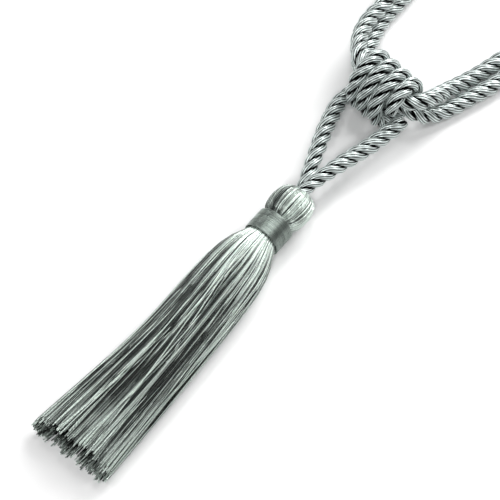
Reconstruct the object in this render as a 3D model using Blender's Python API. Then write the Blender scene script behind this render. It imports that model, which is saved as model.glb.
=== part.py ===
"""Curtain tieback: a thread tassel hung on a knotted rope, as it lies on a flat surface.

Metres, +Z up. The surface is z = 0. The tassel lies along Y with its cut end towards -Y, the knot
lies beyond its head, and the two arms of the rope go on towards +Y, each ending in an eye for the
wall hook. Places are given from the top of the tassel's head and moved by HEAD_TOP at the end.
"""

import math
import random

import bmesh
import bpy
from mathutils import Vector

# The top of the tassel's head in the part's frame, whose origin is the middle of the footprint of
# tassel and knot.
HEAD_TOP = Vector((0.0008, 0.0465, 0.0))
CLEARANCE = 0.0003

# Rope: three strands laid up with a right-hand (Z) twist.
ROPE_DIAMETER = 0.0090
ROPE_PITCH = 0.0225
ROPE_STRANDS = 3
ROPE_STEP = ROPE_PITCH / 9
GROOVE_DEPTH = 0.28

# Knot: the rope wound round the two arms where they cross.
WRAP_DIAMETER = 0.00800
WRAP_RADIUS = 0.0136
WRAP_LEAD = 0.0084
WRAP_TURNS_DEG = 1260
TUCK_DEG = 65
TUCK_DEPTH = 0.0030
TUCK_THICKNESS = 0.72
KNOT_START = Vector((-0.0196, 0.0786, 0.01725))
KNOT_TILT = math.radians(-9)
KNOT_AXIS = Vector((math.cos(KNOT_TILT), math.sin(KNOT_TILT), 0))
KNOT_SIDE = Vector((-math.sin(KNOT_TILT), math.cos(KNOT_TILT), 0))

# Tassel head: a ball of folded threads, hollow where the rope's bight hangs in it.
HEAD_AXIS_Z = 0.01115
HEAD_RADIUS = 0.01175
HEAD_LENGTH = 0.0225
HEAD_TUFTS = 9
TUFT_RELIEF = 0.00028
SOCKET_RADIUS = 0.0087
SOCKET_MOUTH_Y = -0.0039
SOCKET_FLOOR_Y = -0.0177
HEAD_RINGS = 8

# Neck and its band of wound thread.
NECK_RADIUS = 0.0093
BAND_RADIUS = 0.01075
BAND_LENGTH = 0.0145
BAND_EDGE = 0.0005
BAND_STEPS = 48

# Skirt: locks of thread in a grid of columns and rows, squeezed round at the neck.
LOCK_COLUMNS = 18
LOCK_ROWS = 9
LOCK_FILL = 0.84
ROOT_FILL = 0.80
TIP_FILL = 0.70
TIP_SWAY = 0.11
TIP_RAGGED = 0.0024
UNDERSIDE_POWER = 6
UNDERSIDE_PRESS = 1.04
SEED = 7

# Sections of the skirt: y, x of the middle, width, z of the widest line, z of the top, z of the
# underside. The first is the round root at the neck, and from the third on it rests on the surface.
ROOT_Y = -(HEAD_LENGTH + BAND_LENGTH) + 0.0004
SKIRT_SECTIONS = (
    # y        middle x  width    widest z  top z    underside z
    (ROOT_Y, 0.0000, 0.0186, 0.01115, 0.02045, 0.00185),
    (-0.0425, 0.0002, 0.0250, 0.01090, 0.02330, 0.00090),
    (-0.0600, 0.0008, 0.0344, 0.00980, 0.02400, 0.00000),
    (-0.1180, 0.0022, 0.0384, 0.00820, 0.02100, 0.00000),
    (-0.1850, -0.0008, 0.0476, 0.00620, 0.01560, 0.00000),
)

# Hanging rope: from the knot's right end down the right limb, round in the head, and back up the
# left limb to pass beneath the knot. x, y, z and the rope's thickness there.
HANGER_ROUTE = (
    (0.0146, 0.0690, 0.0136, 0.82),
    (0.0143, 0.0652, 0.0129, 0.96),
    (0.0129, 0.0584, 0.0126, 1.00),
    (0.0104, 0.0460, 0.0126, 1.00),
    (0.0074, 0.0344, 0.0129, 1.00),
    (0.0047, 0.0240, 0.0136, 0.96),
    (0.0024, 0.0116, 0.0146, 0.84),
    (0.0008, 0.0010, 0.0156, 0.74),
    (0.0002, -0.0085, 0.01635, 0.71),
    (0.0000, -0.0128, 0.0148, 0.71),
    (0.0000, -0.0142, 0.01115, 0.71),
    (0.0000, -0.0128, 0.0075, 0.71),
    (-0.0003, -0.0085, 0.00595, 0.71),
    (-0.0024, 0.0010, 0.0068, 0.74),
    (-0.0054, 0.0110, 0.0083, 0.84),
    (-0.0106, 0.0252, 0.0090, 0.96),
    (-0.0153, 0.0379, 0.0088, 1.00),
    (-0.0200, 0.0535, 0.0076, 1.00),
    (-0.0218, 0.0612, 0.0062, 0.97),
    (-0.0223, 0.0672, 0.0049, 0.92),
    (-0.0217, 0.0720, 0.0043, 0.89),
)

# Arms: one rope from its end inside the knot out along the right arm, round the right eye and back,
# through the knot, and out, round and back along the left arm to its other end inside the knot.
ARMS_ROUTE = (
    (-0.0060, 0.0795, 0.0135, 0.94),
    (0.0010, 0.0783, 0.0135, 0.94),
    (0.0080, 0.0774, 0.0135, 0.95),
    (0.0140, 0.0778, 0.0125, 0.98),
    (0.0194, 0.0814, 0.0093, 1.00),
    (0.0233, 0.0873, 0.0064, 1.00),
    (0.0265, 0.0945, 0.0050, 1.00),
    (0.0295, 0.1025, 0.0047, 1.00),
    (0.0326, 0.1115, 0.0047, 1.00),
    (0.0364, 0.1222, 0.0047, 1.00),
    (0.0394, 0.1350, 0.0047, 1.00),
    (0.0432, 0.1520, 0.0047, 1.00),
    (0.0461, 0.1690, 0.0047, 1.00),
    (0.0468, 0.1860, 0.0047, 1.00),
    (0.0448, 0.2020, 0.0047, 1.00),
    (0.0404, 0.2160, 0.0047, 1.00),
    (0.0362, 0.2275, 0.0047, 1.00),
    (0.0352, 0.2390, 0.0047, 1.00),
    (0.0336, 0.2500, 0.0047, 1.00),
    (0.0262, 0.2576, 0.0047, 1.00),
    (0.0154, 0.2578, 0.0047, 1.00),
    (0.0086, 0.2496, 0.0047, 1.00),
    (0.0095, 0.2388, 0.0047, 1.00),
    (0.0170, 0.2302, 0.0047, 1.00),
    (0.0252, 0.2218, 0.0047, 1.00),
    (0.0312, 0.2115, 0.0047, 1.00),
    (0.0352, 0.1995, 0.0047, 1.00),
    (0.0370, 0.1860, 0.0047, 1.00),
    (0.0364, 0.1705, 0.0047, 1.00),
    (0.0336, 0.1540, 0.0048, 1.00),
    (0.0298, 0.1375, 0.0050, 1.00),
    (0.0267, 0.1245, 0.0056, 1.00),
    (0.0235, 0.1125, 0.0075, 1.00),
    (0.0212, 0.1035, 0.0099, 1.00),
    (0.0202, 0.0955, 0.0136, 1.00),
    (0.0198, 0.0882, 0.0176, 1.00),
    (0.0178, 0.0808, 0.0210, 1.00),
    (0.0126, 0.0758, 0.0221, 0.95),
    (0.0050, 0.0754, 0.0221, 0.94),
    (-0.0050, 0.0773, 0.0222, 0.94),
    (-0.0130, 0.0787, 0.0222, 0.94),
    (-0.0200, 0.0799, 0.0222, 0.94),
    (-0.0256, 0.0836, 0.0219, 0.98),
    (-0.0298, 0.0888, 0.0205, 1.00),
    (-0.0337, 0.0945, 0.0187, 1.00),
    (-0.0367, 0.1010, 0.0171, 1.00),
    (-0.0396, 0.1125, 0.0152, 1.00),
    (-0.0398, 0.1215, 0.0143, 1.00),
    (-0.0400, 0.1300, 0.0140, 1.00),
    (-0.0427, 0.1400, 0.0129, 1.00),
    (-0.0470, 0.1510, 0.0092, 1.00),
    (-0.0507, 0.1640, 0.0055, 1.00),
    (-0.0522, 0.1780, 0.0047, 1.00),
    (-0.0520, 0.1930, 0.0047, 1.00),
    (-0.0494, 0.2080, 0.0047, 1.00),
    (-0.0440, 0.2215, 0.0047, 1.00),
    (-0.0378, 0.2335, 0.0047, 1.00),
    (-0.0362, 0.2440, 0.0047, 1.00),
    (-0.0348, 0.2550, 0.0047, 1.00),
    (-0.0272, 0.2626, 0.0047, 1.00),
    (-0.0164, 0.2622, 0.0047, 1.00),
    (-0.0099, 0.2538, 0.0047, 1.00),
    (-0.0111, 0.2430, 0.0047, 1.00),
    (-0.0190, 0.2350, 0.0047, 1.00),
    (-0.0278, 0.2272, 0.0047, 1.00),
    (-0.0348, 0.2180, 0.0047, 1.00),
    (-0.0394, 0.2065, 0.0047, 1.00),
    (-0.0418, 0.1930, 0.0047, 1.00),
    (-0.0416, 0.1790, 0.0047, 1.00),
    (-0.0396, 0.1660, 0.0047, 1.00),
    (-0.0380, 0.1530, 0.0047, 1.00),
    (-0.0375, 0.1400, 0.0047, 1.00),
    (-0.0376, 0.1280, 0.0047, 1.00),
    (-0.0362, 0.1180, 0.0052, 1.00),
    (-0.0336, 0.1085, 0.0062, 1.00),
    (-0.0309, 0.1000, 0.0076, 1.00),
    (-0.0291, 0.0926, 0.0092, 1.00),
    (-0.0268, 0.0862, 0.0116, 0.99),
    (-0.0216, 0.0820, 0.0133, 0.95),
    (-0.0140, 0.0808, 0.0135, 0.94),
    (-0.0063, 0.0796, 0.0135, 0.94),
)

# Colours are linear.
THREAD_COLOUR = (0.34, 0.45, 0.38)
BAND_COLOUR = (0.38, 0.49, 0.42)
ROPE_COLOUR = (0.31, 0.42, 0.37)


def clear_scene():
    for item in list(bpy.data.objects):
        bpy.data.objects.remove(item, do_unlink=True)


def new_collection(name):
    collection = bpy.data.collections.new(name)
    bpy.context.scene.collection.children.link(collection)
    return collection


def make_material(name, colour, roughness):
    material = bpy.data.materials.new(name)
    material.use_nodes = True
    shader = material.node_tree.nodes["Principled BSDF"]
    shader.inputs["Base Color"].default_value = (*colour, 1)
    shader.inputs["Roughness"].default_value = roughness
    shader.inputs["Metallic"].default_value = 0
    return material


def add_mesh_object(name, mesh, material, collection):
    part = bpy.data.objects.new(name, mesh)
    mesh.materials.clear()
    mesh.materials.append(material)
    collection.objects.link(part)
    return part


# Rope

# The pairs of times between which each round of a Catmull-Rom curve's point is blended.
CURVE_SPANS = (((0, 1), (1, 2), (2, 3)), ((0, 2), (1, 3)), ((1, 2),))


def smooth_route(rows, samples=24):
    """Points close together on a smooth curve through the rows: place and thickness."""
    knots = [(Vector(row[:3]), row[3]) for row in rows]
    first = (knots[0][0] * 2 - knots[1][0], knots[0][1])
    last = (knots[-1][0] * 2 - knots[-2][0], knots[-1][1])
    knots = [first, *knots, last]
    curve = []
    for before, start, end, after in zip(knots, knots[1:], knots[2:], knots[3:]):
        times = [0.0]
        for one, two in ((before, start), (start, end), (end, after)):
            times.append(times[-1] + math.sqrt((two[0] - one[0]).length))
        for i in range(samples):
            t = times[1] + (times[2] - times[1]) * i / samples
            place = catmull_rom(t, times, [k[0] for k in (before, start, end, after)])
            thickness = start[1] + (end[1] - start[1]) * i / samples
            curve.append((place, thickness))
    curve.append((knots[-2][0], knots[-2][1]))
    return curve


def catmull_rom(t, times, points):
    """The centripetal Catmull-Rom curve's point at t, between the second and third points."""
    level = points
    for spans in CURVE_SPANS:
        following = []
        for (first, last), one, two in zip(spans, level, level[1:]):
            share = (t - times[first]) / (times[last] - times[first])
            following.append(one.lerp(two, share))
        level = following
    return level[0]


def even_route(curve, step):
    """The same curve as points an equal step apart."""
    lengths = [0.0]
    for (one, _), (two, _) in zip(curve, curve[1:]):
        lengths.append(lengths[-1] + (two - one).length)
    count = max(2, round(lengths[-1] / step) + 1)
    route, at = [], 0
    for i in range(count):
        wanted = lengths[-1] * i / (count - 1)
        while at < len(curve) - 2 and lengths[at + 1] < wanted:
            at += 1
        share = (wanted - lengths[at]) / (lengths[at + 1] - lengths[at])
        place = curve[at][0].lerp(curve[at + 1][0], share)
        thickness = curve[at][1] * (1 - share) + curve[at + 1][1] * share
        route.append((place, thickness))
    return route


def make_strand_section(collection):
    """The rope's section, three lobes with a groove between each two, as a closed outline."""
    outline = bpy.data.curves.new("strand_section", "CURVE")
    outline.dimensions = "2D"
    outline.fill_mode = "NONE"
    radius = ROPE_DIAMETER / 2
    points = []
    for lobe in range(ROPE_STRANDS):
        middle = math.tau * lobe / ROPE_STRANDS
        points.append((middle, radius))
        points.append((middle + math.pi / ROPE_STRANDS, radius * (1 - GROOVE_DEPTH)))
    spline = outline.splines.new("POLY")
    spline.points.add(len(points) - 1)
    for point, (angle, reach) in zip(spline.points, points):
        point.co = (reach * math.cos(angle), reach * math.sin(angle), 0, 1)
    spline.use_cyclic_u = True
    guide = bpy.data.objects.new("strand_section", outline)
    guide.hide_render = True
    guide.display_type = "WIRE"
    collection.objects.link(guide)
    return guide


def make_rope(name, curve, section, material, collection):
    """A twisted rope along the curve, its strands turning once in every pitch."""
    route = even_route(curve, ROPE_STEP)
    data = bpy.data.curves.new(name, "CURVE")
    data.dimensions = "3D"
    data.twist_mode = "MINIMUM"
    data.bevel_mode = "OBJECT"
    data.bevel_object = section
    data.use_fill_caps = True
    spline = data.splines.new("POLY")
    spline.points.add(len(route) - 1)
    travelled = 0.0
    previous = route[0][0]
    for point, (place, thickness) in zip(spline.points, route):
        travelled += (place - previous).length
        previous = place
        point.co = (*(place + HEAD_TOP), 1)
        point.radius = thickness
        point.tilt = math.tau * travelled / ROPE_PITCH
    curve_object = bpy.data.objects.new(name + "_route", data)
    collection.objects.link(curve_object)
    bpy.context.view_layer.update()
    evaluated = curve_object.evaluated_get(bpy.context.evaluated_depsgraph_get())
    mesh = bpy.data.meshes.new_from_object(evaluated)
    mesh.name = name
    bpy.data.objects.remove(curve_object, do_unlink=True)
    settle(mesh)
    return add_mesh_object(name, mesh, material, collection)


def settle(mesh):
    """Welds the caps on, and presses flat what would reach below the surface."""
    shape = bmesh.new()
    shape.from_mesh(mesh)
    bmesh.ops.remove_doubles(shape, verts=shape.verts, dist=0.00001)
    for vertex in shape.verts:
        vertex.co.z = max(vertex.co.z, 0.0)
    bmesh.ops.recalc_face_normals(shape, faces=shape.faces)
    shape.to_mesh(mesh)
    shape.free()


def wrap_place(angle_deg):
    """A point of the wrap's centreline: the angle is counted from beneath the knot."""
    tucked = max(0.0, (angle_deg - WRAP_TURNS_DEG) / TUCK_DEG)
    radius = WRAP_RADIUS - TUCK_DEPTH * tucked
    along = WRAP_LEAD * angle_deg / 360
    angle = math.radians(angle_deg)
    place = KNOT_START + KNOT_AXIS * along + KNOT_SIDE * (radius * math.sin(angle))
    place.z -= radius * math.cos(angle)
    return place


def wrap_route():
    """The wrap's curve. Past its last turn it thins and is tucked in at the knot's right end."""
    full = WRAP_DIAMETER / ROPE_DIAMETER
    route = []
    for angle in range(0, WRAP_TURNS_DEG + TUCK_DEG + 1, 5):
        tucked = max(0.0, (angle - WRAP_TURNS_DEG) / TUCK_DEG)
        route.append((wrap_place(angle), full * (1 - (1 - TUCK_THICKNESS) * tucked * tucked)))
    return route


def hanger_route():
    """The hanging rope's curve, whose last stretch meets the wrap's first end face to face."""
    start = wrap_place(0)
    heading = (wrap_place(5) - start).normalized()
    meeting = start - heading * CLEARANCE
    approach = start - heading * 0.0045
    thickness = WRAP_DIAMETER / ROPE_DIAMETER
    rows = list(HANGER_ROUTE)
    rows.append((*approach, thickness))
    rows.append((*meeting, thickness))
    return smooth_route(rows)


# Tassel


def disc_place(across, up):
    """A point of the square from -1 to 1 moved into the round disc."""
    return across * math.sqrt(1 - up * up / 2), up * math.sqrt(1 - across * across / 2)


def section_place(section, across, up):
    """A point of one of the skirt's sections: rounded on top, level underneath."""
    y, middle, width, widest_z, top_z, underside_z = section
    a, b = disc_place(across, up)
    x = middle + width / 2 * a
    if b >= 0 or section is SKIRT_SECTIONS[0]:
        z = widest_z + (top_z - widest_z) * b
    else:
        level = (1 - abs(a) ** UNDERSIDE_POWER) ** (1 / UNDERSIDE_POWER)
        fullness = level / math.sqrt(max(1 - a * a, 1e-9)) * UNDERSIDE_PRESS
        z = max(underside_z, widest_z + (widest_z - underside_z) * b * fullness)
    return Vector((x, y, z))


def grid_value(index, count):
    return 2 * index / count - 1


def lock_corners(section, column, row, fill):
    """The four corners of a lock in a section: its cell drawn in, but not off the surface."""
    cell = []
    for c, r in ((column, row), (column + 1, row), (column + 1, row + 1), (column, row + 1)):
        across, up = grid_value(c, LOCK_COLUMNS), grid_value(r, LOCK_ROWS)
        cell.append(section_place(section, across, up))
    middle = sum(cell, Vector()) / 4
    corners = []
    for place in cell:
        drawn = middle + (place - middle) * fill
        if row == 0 and place.z <= section[5] + 0.00002:
            drawn.z = place.z
        corners.append(drawn)
    return corners, middle


def lock_tip(column, row, chance):
    """The lock's cut end: narrower, swayed inside its own cell, and cut a little long or short."""
    section = SKIRT_SECTIONS[-1]
    corners, middle = lock_corners(section, column, row, TIP_FILL)
    wide, _ = lock_corners(section, column, row, 1.0)
    sway_x = chance.uniform(-1, 1) * TIP_SWAY * (wide[1].x - wide[0].x)
    sway_y = chance.uniform(-1, 1) * TIP_RAGGED
    height = wide[3].z - wide[0].z
    sway_z = chance.uniform(0, 1) * TIP_SWAY * height if row else 0.0
    # The end leans: the upper locks are cut further out than the lower ones.
    lean = 0.0016 * (middle.z / section[4])
    return [corner + Vector((sway_x, sway_y - lean, sway_z)) for corner in corners]


def rim_places():
    """Columns and rows of the grid's outer corners, once round."""
    bottom = [(c, 0) for c in range(LOCK_COLUMNS)]
    right = [(LOCK_COLUMNS, r) for r in range(LOCK_ROWS)]
    top = [(c, LOCK_ROWS) for c in range(LOCK_COLUMNS, 0, -1)]
    left = [(0, r) for r in range(LOCK_ROWS, 0, -1)]
    return bottom + right + top + left


def head_profile():
    """y and radius from the neck's root over the ball and down into the socket."""
    middle_y = -HEAD_LENGTH / 2
    profile = [(-(HEAD_LENGTH + 0.0002), NECK_RADIUS), (-(HEAD_LENGTH - 0.0006), 0.0101)]
    low = math.asin((-(HEAD_LENGTH - 0.0016) - middle_y) / (HEAD_LENGTH / 2))
    high = math.asin((SOCKET_MOUTH_Y - middle_y) / (HEAD_LENGTH / 2))
    for i in range(HEAD_RINGS + 1):
        turn = low + (high - low) * i / HEAD_RINGS
        y = middle_y + HEAD_LENGTH / 2 * math.sin(turn)
        profile.append((y, max(0.0098, HEAD_RADIUS * math.cos(turn) ** 0.72)))
    profile.append((SOCKET_MOUTH_Y + 0.0004, SOCKET_RADIUS + 0.0002))
    profile.append((SOCKET_MOUTH_Y - 0.0008, SOCKET_RADIUS))
    profile.append((SOCKET_FLOOR_Y, SOCKET_RADIUS))
    return profile


def head_ring(shape, y, radius, angles):
    """One ring of the head, with shallow hollows between its tufts, flat where it rests."""
    outside = y > -HEAD_LENGTH and radius > SOCKET_RADIUS + 0.0005
    relief = TUFT_RELIEF if outside and y < SOCKET_MOUTH_Y else 0.0
    ring = []
    for angle in angles:
        reach = radius - relief * (1 - math.cos(HEAD_TUFTS * angle)) * (0.5 + 0.5 * math.sin(angle))
        z = max(0.0, HEAD_AXIS_Z + reach * math.sin(angle))
        ring.append(shape.verts.new(Vector((reach * math.cos(angle), y, z)) + HEAD_TOP))
    return ring


def bridge_rings(shape, one, two):
    for i in range(len(one)):
        j = (i + 1) % len(one)
        shape.faces.new((one[i], one[j], two[j], two[i]))


def make_tassel(material, collection):
    """Head, neck and skirt in one piece: every lock grows out of the neck's root."""
    shape = bmesh.new()
    chance = random.Random(SEED)
    root_section = SKIRT_SECTIONS[0]
    root = {}
    for c in range(LOCK_COLUMNS + 1):
        for r in range(LOCK_ROWS + 1):
            place = section_place(root_section, grid_value(c, LOCK_COLUMNS), grid_value(r, LOCK_ROWS))
            root[c, r] = shape.verts.new(place + HEAD_TOP)
    for column in range(LOCK_COLUMNS):
        for row in range(LOCK_ROWS):
            cell = ((column, row), (column + 1, row), (column + 1, row + 1), (column, row + 1))
            previous = [root[place] for place in cell]
            stations = [lock_corners(root_section, column, row, ROOT_FILL)[0]]
            for section in SKIRT_SECTIONS[1:-1]:
                stations.append(lock_corners(section, column, row, LOCK_FILL)[0])
            stations.append(lock_tip(column, row, chance))
            for corners in stations:
                ring = [shape.verts.new(corner + HEAD_TOP) for corner in corners]
                bridge_rings(shape, previous, ring)
                previous = ring
            shape.faces.new(previous)
    rim = [root[place] for place in rim_places()]
    middle = HEAD_TOP + Vector((0, 0, HEAD_AXIS_Z))
    angles = [math.atan2(v.co.z - middle.z, v.co.x - middle.x) for v in rim]
    previous = rim
    for y, radius in head_profile():
        ring = head_ring(shape, y, radius, angles)
        bridge_rings(shape, previous, ring)
        previous = ring
    shape.faces.new(previous)
    bmesh.ops.recalc_face_normals(shape, faces=shape.faces)
    mesh = bpy.data.meshes.new("tassel")
    shape.to_mesh(mesh)
    shape.free()
    return add_mesh_object("tassel", mesh, material, collection)


def make_neck_band(material, collection):
    """The band wound round the neck: a turned ring with softened edges."""
    low, high = -(HEAD_LENGTH + BAND_LENGTH) + 0.0009, -(HEAD_LENGTH + 0.0005)
    inner = NECK_RADIUS + CLEARANCE
    corners = (
        (inner, low),
        (inner, high),
        (BAND_RADIUS - BAND_EDGE, high),
        (BAND_RADIUS, high - BAND_EDGE),
        (BAND_RADIUS, low + BAND_EDGE),
        (BAND_RADIUS - BAND_EDGE, low),
    )
    mesh = bpy.data.meshes.new("neck_band")
    shape = bmesh.new()
    outline = [shape.verts.new((radius, y, 0)) for radius, y in corners]
    for one, two in zip(outline, outline[1:] + outline[:1]):
        shape.edges.new((one, two))
    axis_points = {"cent": (0, 0, 0), "axis": (0, 1, 0), "angle": math.tau, "steps": BAND_STEPS}
    bmesh.ops.spin(shape, geom=shape.verts[:] + shape.edges[:], **axis_points)
    bmesh.ops.remove_doubles(shape, verts=shape.verts, dist=0.00002)
    bmesh.ops.recalc_face_normals(shape, faces=shape.faces)
    bmesh.ops.translate(shape, verts=shape.verts, vec=HEAD_TOP + Vector((0, 0, HEAD_AXIS_Z)))
    shape.to_mesh(mesh)
    shape.free()
    return add_mesh_object("neck_band", mesh, material, collection)


def main():
    clear_scene()
    parts = new_collection("curtain_tieback")
    guides = new_collection("guides")
    thread = make_material("tassel_thread", THREAD_COLOUR, 0.38)
    band = make_material("band_thread", BAND_COLOUR, 0.30)
    rope = make_material("satin_rope", ROPE_COLOUR, 0.32)
    section = make_strand_section(guides)
    made = [
        make_tassel(thread, parts),
        make_neck_band(band, parts),
        make_rope("knot_wrap", wrap_route(), section, rope, parts),
        make_rope("hanging_rope", hanger_route(), section, rope, parts),
        make_rope("arm_rope", smooth_route(ARMS_ROUTE), section, rope, parts),
    ]
    for part in made:
        part.data.shade_smooth()
        part.data.set_sharp_from_angle(angle=math.radians(50))


main()
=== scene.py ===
# %% [markdown]
# # A curtain tieback, laid thread by thread
#
# A tieback holds a curtain to the side of its window. This one lies on a white surface: a tassel
# hangs by a V of twisted rope from a wound knot, and from the knot two doubled arms of the same
# rope go off to their wall hooks.
#
# The imported CAD model is the frame. It has every piece in its place, as plain solids. A picture of
# thread on those solids would look flat at their edges, so this script lays real strands over
# them: three in each rope, and nearly three thousand in the tassel.
#
# The frame is loaded first, because the strands are laid over its solids and stand in for them.

import math
from functools import partial
from typing import NamedTuple

import bpy
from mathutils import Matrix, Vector


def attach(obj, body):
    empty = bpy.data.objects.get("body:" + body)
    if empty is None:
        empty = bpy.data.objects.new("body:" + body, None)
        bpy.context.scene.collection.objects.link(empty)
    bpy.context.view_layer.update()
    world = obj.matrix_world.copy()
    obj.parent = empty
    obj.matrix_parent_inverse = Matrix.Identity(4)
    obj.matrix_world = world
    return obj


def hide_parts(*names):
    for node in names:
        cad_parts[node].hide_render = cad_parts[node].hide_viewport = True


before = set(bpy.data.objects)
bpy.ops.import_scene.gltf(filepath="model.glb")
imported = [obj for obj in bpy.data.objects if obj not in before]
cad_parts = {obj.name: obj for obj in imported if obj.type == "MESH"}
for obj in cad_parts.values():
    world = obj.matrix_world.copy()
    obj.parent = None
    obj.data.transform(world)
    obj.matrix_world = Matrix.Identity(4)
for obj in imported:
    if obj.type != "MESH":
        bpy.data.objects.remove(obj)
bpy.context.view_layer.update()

# %% [markdown]
# ## The camera
#
# The photograph looks down on the tieback from 60 degrees, turned 38 degrees to its left, so the
# tassel points to the bottom left. A Track To constraint could aim the camera, but a turn that is
# worked out once leaves nothing in the scene that depends on something else. Places on the tieback
# are counted from the top of the tassel's head, and HEAD_TOP moves them into the frame.

# %% Camera
HEAD_TOP = Vector((0.0008, 0.0465, 0.0))
CAMERA_PLACE = Vector((0.27468, -0.39201, 0.77942)) + HEAD_TOP
CAMERA_AIM = Vector((-0.00465, -0.03920, 0.0)) + HEAD_TOP
LENS_MM = 123.12
SENSOR_MM = 36
NEAREST_SEEN = 0.01

camera_data = bpy.data.cameras.new("camera")
camera_data.sensor_width = SENSOR_MM
camera_data.lens = LENS_MM
camera_data.clip_start = NEAREST_SEEN
camera = bpy.data.objects.new("camera", camera_data)
camera.location = CAMERA_PLACE
camera.rotation_euler = (CAMERA_AIM - CAMERA_PLACE).to_track_quat("-Z", "Y").to_euler()
bpy.context.scene.collection.objects.link(camera)
bpy.context.scene.camera = camera
print(f"camera {(CAMERA_PLACE - CAMERA_AIM).length * 1000:.0f} mm from where it looks")

# %% [markdown]
# ## Sums made of nodes
#
# Geometry Nodes lay the strands, and shader nodes colour them. Both are networks in which even a
# plus sign is a node. They could be wired by hand in the node editor, but so many nodes are easier
# to read as the sums that they stand for. So a Field is a value that flows through a network, and a
# sign between two fields adds the Math node that it means.


# %% Adding a node
def node(tree, kind, *values, **settings):
    """Adds a node. The values fill its inputs in their order, and None leaves one as it is."""
    made = tree.nodes.new(kind)
    for name, value in settings.items():
        setattr(made, name, value)
    for socket, value in zip([s for s in made.inputs if s.enabled], values):
        if isinstance(value, Field):
            tree.links.new(value.socket, socket)
        elif value is not None:
            socket.default_value = value
    return Field(tree, [s for s in made.outputs if s.enabled][0])


def maths(operation, *values):
    """Adds a Math node."""
    tree = next(value.tree for value in values if isinstance(value, Field))
    return node(tree, "ShaderNodeMath", *values, operation=operation)


# %% A value that takes part in sums
class Field:
    """A number, vector or colour that flows through a tree."""

    def __init__(self, tree, socket):
        self.tree = tree
        self.socket = socket

    def beside(self, name):
        """Another output of the same node."""
        return Field(self.tree, self.socket.node.outputs[name])

    def parts(self):
        """The three numbers of a vector."""
        split = node(self.tree, "ShaderNodeSeparateXYZ", self).socket.node
        return [Field(self.tree, socket) for socket in split.outputs]

    def vector(self, operation, *others):
        """Adds a Vector Math node."""
        return node(self.tree, "ShaderNodeVectorMath", self, *others, operation=operation)

    def __add__(self, other):
        return maths("ADD", self, other)

    def __sub__(self, other):
        return maths("SUBTRACT", self, other)

    def __rsub__(self, other):
        return maths("SUBTRACT", other, self)

    def __mul__(self, other):
        return maths("MULTIPLY", self, other)

    def __truediv__(self, other):
        return maths("DIVIDE", self, other)

    def __pow__(self, other):
        return maths("POWER", self, other)


# %% [markdown]
# ## One tree for every strand
#
# Rope, knot and tassel are one thing at different sizes: strands that run side by side along a
# route. Bevelled curves could make them one by one, and Blender's hair could fill a tassel, but a
# rope's strands turn with its length, and a tassel's threads gather in locks. One Geometry Nodes
# tree does both. It copies the route's line once for each strand, moves each copy to its own place
# in the route's section, and sweeps a small round profile along it.
#
# The route's points carry three vectors, side, up and down, which say how wide the section is
# there, so the tree needs no knowledge of what it is making. What a maker decides, such as how
# many strands there are and how much they stray, is an input with a name.

# %% What the maker decides
STRAND_INPUTS = {
    "Strands": 3,
    "Radius": 0.001,
    "Sides": 12,  # of a strand's profile
    "Turns per metre": 0.0,
    "Spread": 0.0,  # 0 puts all strands at the rim, and 0.5 fills the section evenly
    "Scatter": 0.0,  # 0 spaces them evenly round the section, and 1 leaves it to chance
    "Uneven": 0.0,  # how far they differ in thickness
    "Strands per lock": 1,
    "Lock at root": 0.0,  # a lock's radius there, where the section's is 1
    "Lock at tip": 0.0,
    "Lock drift": 0.0,  # how far a lock leans aside on its way, and then how far a strand does
    "Own drift": 0.0,
    "Wave": 0.0,
    "Wave length": 0.03,
    "Relief": 0.0,  # how unevenly the strands at the rim stand out
    "Lock ragged": 0.0,  # in metres, as are the three below: locks cut long or short
    "Ragged": 0.0,  # single strands that stick out
    "Hollow": 0.0,  # how far the inner ends are set back
    "Set back": 0.0,  # how far the upper ends are
    "Ridges": 0,  # finer yarns that show round a strand
    "Ridge depth": 0.0,
    "Floor": -1.0,  # the height that nothing reaches below
    "Seed": 1,
    "Material": None,
}
SOCKET_KINDS = {int: "NodeSocketInt", float: "NodeSocketFloat", type(None): "NodeSocketMaterial"}


def tree_with_inputs():
    """An empty tree, and its inputs as fields."""
    tree = bpy.data.node_groups.new("strands along a route", "GeometryNodeTree")
    tree.interface.new_socket("Route", in_out="INPUT", socket_type="NodeSocketGeometry")
    for name, value in STRAND_INPUTS.items():
        socket = tree.interface.new_socket(name, in_out="INPUT", socket_type=SOCKET_KINDS[type(value)])
        if value is not None:
            socket.default_value = value
    tree.interface.new_socket("Strands", in_out="OUTPUT", socket_type="NodeSocketGeometry")
    outputs = tree.nodes.new("NodeGroupInput").outputs
    return tree, {socket.name: Field(tree, socket) for socket in outputs}


print(f"{len(STRAND_INPUTS)} inputs to decide")

# %% [markdown]
# ## Copies and chances
#
# Every strand needs luck of its own, but the same luck each time the script runs. A Random Value
# node gives that: it turns a number and a seed into a fixed draw. The number here is the strand's,
# or that of its lock, which is a bunch of neighbours that share their luck. Each kind of draw
# has a place in the row of names below, which is added to the seed.

# %% One copy of the route for each strand
DRAWS = (
    "lock angle", "lock depth", "depth in lock", "angle in lock", "lock lean", "lock rise", "own lean",
    "own rise", "lock cut", "own cut", "own hue", "lock hue", "fullness", "looseness",
)
RUN_STEP = 10007.0  # more than the strands of any run, so that no two runs share a number


def carried(tree, name, kind="FLOAT"):
    """A value that the points carry under that name."""
    return node(tree, "GeometryNodeInputNamedAttribute", name, data_type=kind)


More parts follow.
